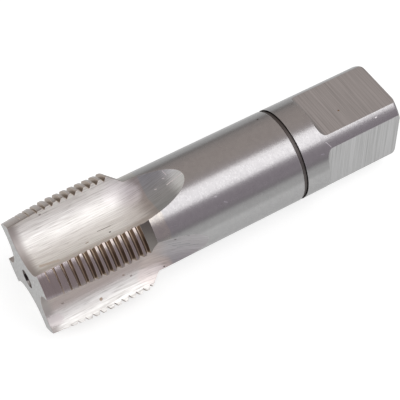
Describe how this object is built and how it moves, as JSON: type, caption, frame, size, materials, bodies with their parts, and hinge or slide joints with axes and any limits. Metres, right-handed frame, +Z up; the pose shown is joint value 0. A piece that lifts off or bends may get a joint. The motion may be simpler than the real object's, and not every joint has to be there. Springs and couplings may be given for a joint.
{
  "type": "thread tap",
  "caption": "Hand tap for cutting an internal thread: a straight-fluted threaded head with a tapered lead, on a plain round shank that ends in a driving square.",
  "frame": {"origin": "on the surface that the tap lies on, under the middle of its length", "axes": "+X along the tap from its nose to its driving square, +Z up; at rest the tap's axis tips 0.97 degrees from the end of the round shank up to the nose"},
  "size_m": [0.1024, 0.0268, 0.027],
  "materials": {
    "ground_steel": "satin ground tool steel"
  },
  "bodies": {
    "root": {"tap": "ground_steel"}
  },
  "joints": []
}
